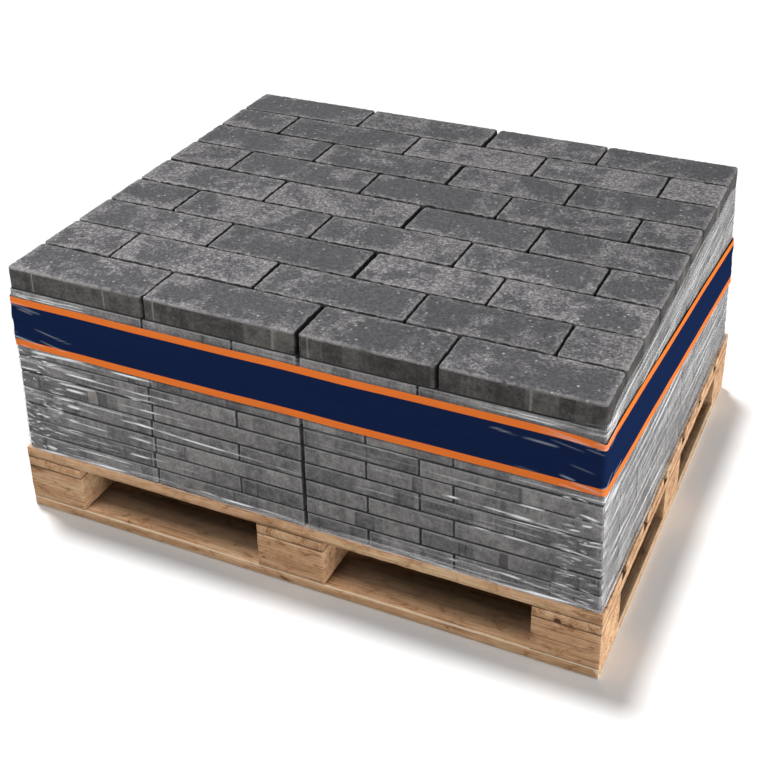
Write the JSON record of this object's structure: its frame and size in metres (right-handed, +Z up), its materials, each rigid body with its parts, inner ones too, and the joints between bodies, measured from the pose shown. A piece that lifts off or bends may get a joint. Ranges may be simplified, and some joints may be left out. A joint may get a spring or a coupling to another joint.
{
  "type": "pallet of concrete paving blocks",
  "caption": "Wooden pallet loaded with layers of rectangular concrete paving blocks, held by stretch film and a plain coloured band, with the top layer left open.",
  "frame": {"origin": "middle of the pallet's footprint, on the ground", "axes": "+Z up, +X along the pallet's 1200 mm side, -Y towards the long face that the picture shows in front"},
  "size_m": [1.2, 1, 0.559],
  "materials": {
    "pallet_wood": "matte",
    "concrete_pavers": "matte",
    "concrete_pavers_top": "matte",
    "stretch_film": "gloss",
    "printed_band": "satin"
  },
  "bodies": {
    "root": {"deck_board_1": "pallet_wood", "deck_board_2": "pallet_wood", "deck_board_3": "pallet_wood", "deck_board_4": "pallet_wood", "deck_board_5": "pallet_wood", "deck_board_6": "pallet_wood", "deck_board_7": "pallet_wood", "stringer_board_left": "pallet_wood", "stringer_board_middle": "pallet_wood", "stringer_board_right": "pallet_wood", "block_front_left": "pallet_wood", "block_front_centre": "pallet_wood", "block_front_right": "pallet_wood", "block_middle_left": "pallet_wood", "block_middle_centre": "pallet_wood", "block_middle_right": "pallet_wood", "block_back_left": "pallet_wood", "block_back_centre": "pallet_wood", "block_back_right": "pallet_wood", "base_board_front": "pallet_wood", "base_board_middle": "pallet_wood", "base_board_back": "pallet_wood", "base_board_left": "pallet_wood", "base_board_right": "pallet_wood", "paver_layer_01": "concrete_pavers", "paver_layer_02": "concrete_pavers", "paver_layer_03": "concrete_pavers", "paver_layer_04": "concrete_pavers", "paver_layer_05": "concrete_pavers", "paver_layer_06": "concrete_pavers", "paver_layer_07": "concrete_pavers", "paver_layer_08": "concrete_pavers", "paver_layer_09": "concrete_pavers", "paver_layer_10": "concrete_pavers", "paver_layer_11": "concrete_pavers_top", "stretch_film": "stretch_film", "printed_band": "printed_band"}
  },
  "joints": []
}
